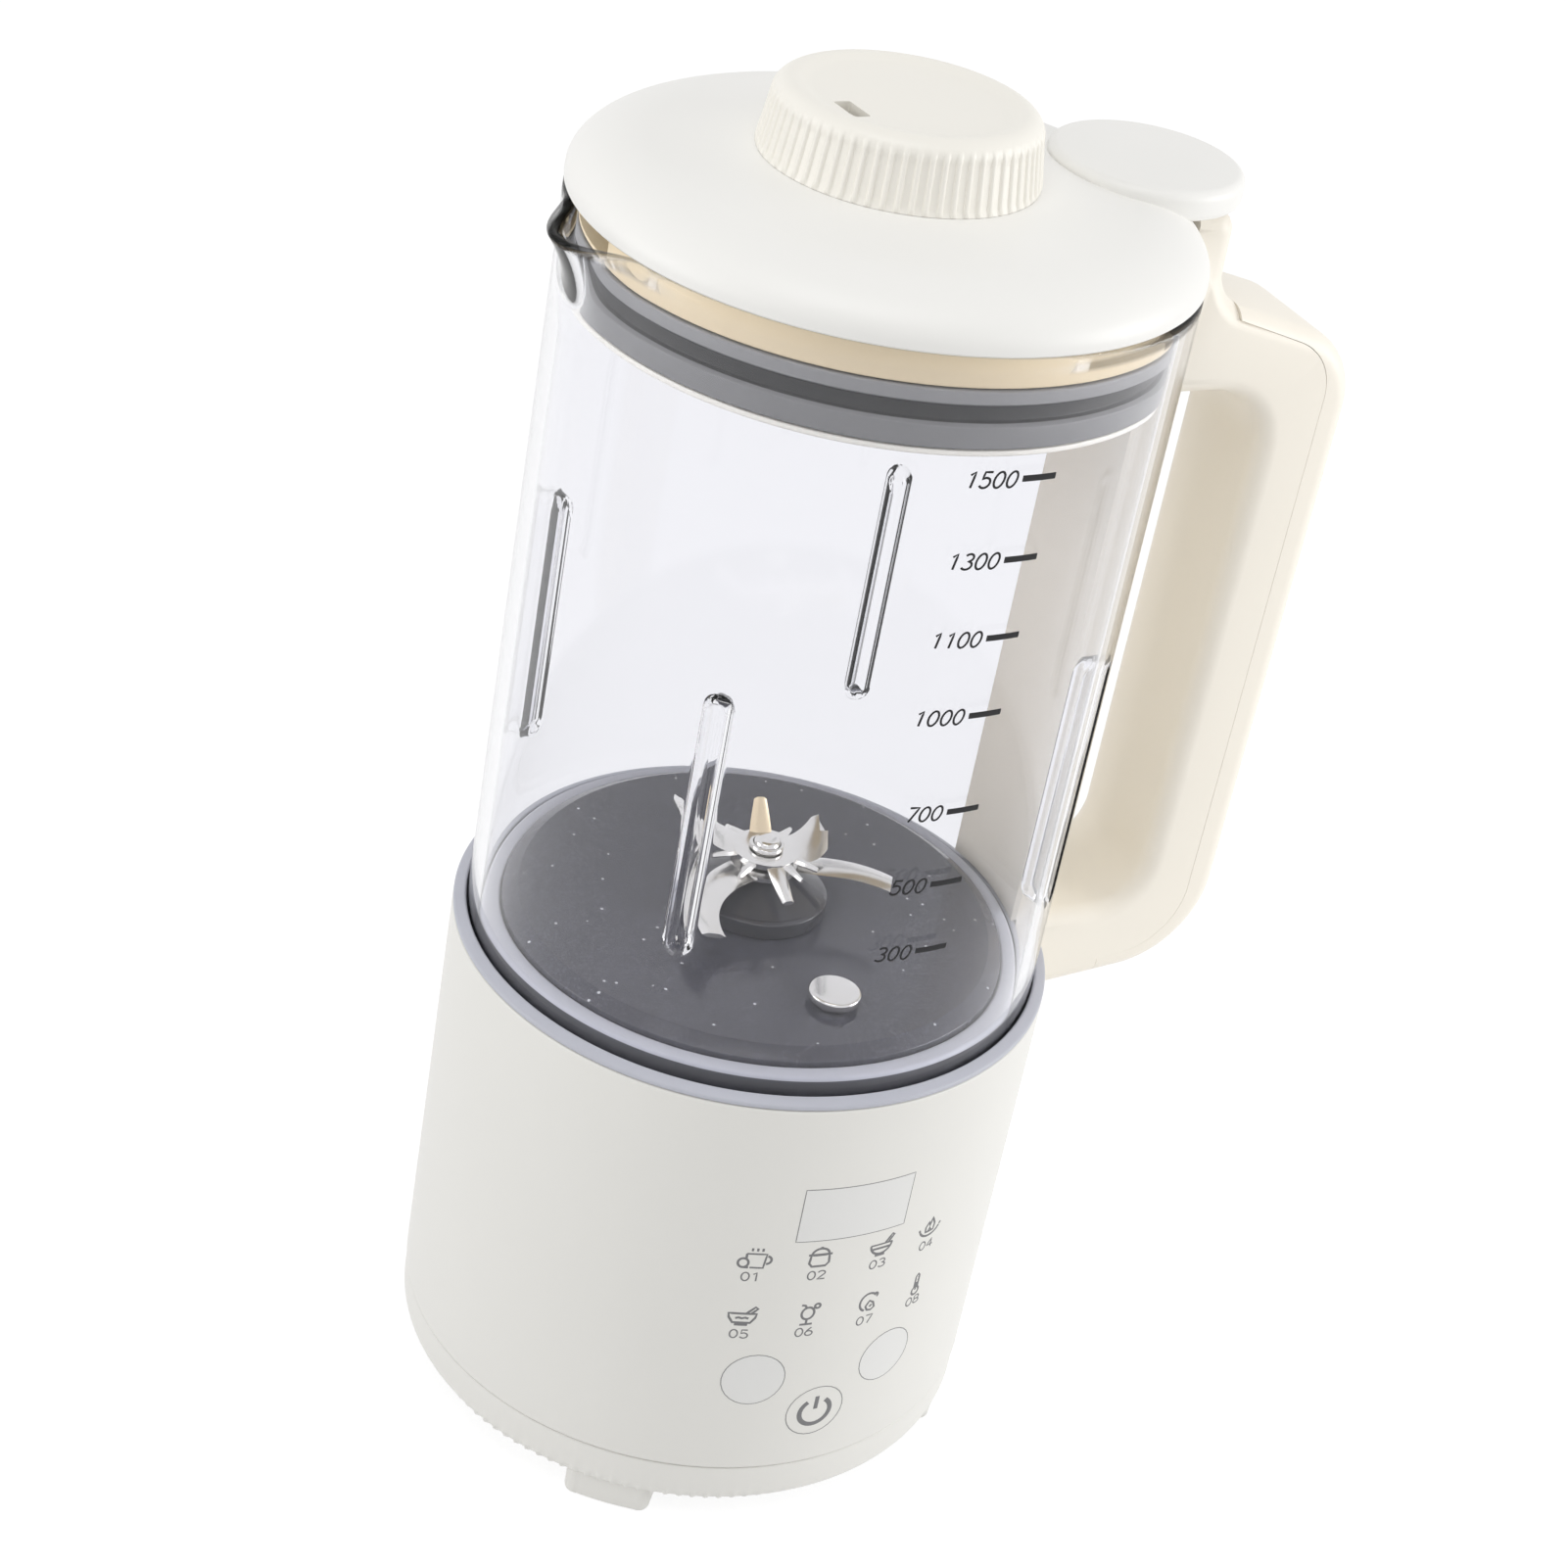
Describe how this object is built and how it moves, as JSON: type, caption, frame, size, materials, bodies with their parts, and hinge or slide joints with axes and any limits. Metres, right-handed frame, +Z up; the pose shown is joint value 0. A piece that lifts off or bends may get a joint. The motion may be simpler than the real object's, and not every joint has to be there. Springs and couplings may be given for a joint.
{
  "type": "soy milk maker",
  "caption": "Countertop soy milk maker with a motor and heater base, glass jar with stainless blades, lift-off lid with ribbed vent cap, and a side handle.",
  "frame": {"origin": "centre of the bounding box on the surface that the feet stand on", "axes": "+Z up along the jar's axis, -Y out of the front control panel, +X towards the handle, -X towards the pouring lip"},
  "size_m": [0.185, 0.1344, 0.3149],
  "materials": {
    "cream_shell": "fine matt moulded plastic",
    "lid_white": "fine matt moulded plastic",
    "skirt_tan": "smooth moulded plastic",
    "silicone_grey": "soft silicone",
    "clear_glass": "clear borosilicate glass",
    "plate_coating": "dark speckled non-stick coating",
    "dark_plastic": "dark moulded plastic",
    "polished_steel": "polished stainless steel",
    "plain_steel": "plain steel",
    "copper": "enamelled copper wire",
    "brass_contact": "bare brass",
    "board_green": "printed circuit board",
    "black_rubber": "moulded rubber"
  },
  "bodies": {
    "base": {"bottom_cover": "cream_shell", "housing": "cream_shell", "handle_grip": "cream_shell", "handle_cover": "cream_shell", "handle_spine": "cream_shell", "jar_seal": "silicone_grey", "glass_jar": "clear_glass", "heating_plate": "plate_coating", "blade_pedestal": "dark_plastic", "display_module": "dark_plastic", "power_inlet": "dark_plastic", "interlock_switch": "dark_plastic", "thermal_cutout": "dark_plastic", "carbon_brush_left": "dark_plastic", "carbon_brush_right": "dark_plastic", "temperature_probe": "polished_steel", "cover_screw_1": "plain_steel", "cover_screw_2": "plain_steel", "cover_screw_3": "plain_steel", "cover_screw_4": "plain_steel", "plate_nut_1": "plain_steel", "plate_nut_2": "plain_steel", "plate_nut_3": "plain_steel", "heating_element": "plain_steel", "probe_nut": "plain_steel", "pedestal_nut": "plain_steel", "upper_bearing": "plain_steel", "lower_bearing": "plain_steel", "motor_bracket": "plain_steel", "motor_upper_frame": "plain_steel", "motor_lower_frame": "plain_steel", "motor_stator": "plain_steel", "motor_bolt_left": "plain_steel", "motor_bolt_right": "plain_steel", "handle_screw_front": "plain_steel", "handle_screw_rear": "plain_steel", "interlock_spring": "plain_steel", "field_winding": "copper", "brush_holder_left": "brass_contact", "brush_holder_right": "brass_contact", "power_board": "board_green", "touch_board": "board_green", "pedestal_gasket": "black_rubber", "shaft_seal": "black_rubber"},
    "rotor": {"drive_shaft": "polished_steel", "motor_rotor": "copper", "commutator": "brass_contact", "cooling_fan": "dark_plastic", "upper_blade": "polished_steel", "lower_blade": "polished_steel", "blade_spacer": "polished_steel", "blade_nut": "polished_steel"},
    "lid": {"lid_dome": "lid_white", "lid_skirt": "skirt_tan", "lid_gasket": "silicone_grey", "gasket_retainer": "lid_white"},
    "vent_cap": {"vent_cap": "lid_white", "vent_cap_seal": "silicone_grey"},
    "plunger": {"interlock_plunger": "dark_plastic"}
  },
  "joints": [
    {"name": "blade_spin", "type": "hinge", "parent": "base", "child": "rotor", "pos_m": [-0.02075, 0, 0.136], "axis": [0, 0, 1], "continuous": true},
    {"name": "lid_lift", "type": "slide", "parent": "base", "child": "lid", "axis": [0, 0, 1], "range_m": [0, 0.06]},
    {"name": "cap_twist", "type": "hinge", "parent": "lid", "child": "vent_cap", "pos_m": [-0.02075, 0, 0.3013], "axis": [0, 0, 1], "range_deg": [0, 60]},
    {"name": "plunger_slide", "type": "slide", "parent": "base", "child": "plunger", "axis": [0, 0, 1], "range_m": [0, 0.0015], "deforming": ["interlock_spring"]}
  ],
  "couplings": [
    {"joint": "plunger_slide", "follows": "lid_lift", "ratio": 0.025}
  ]
}
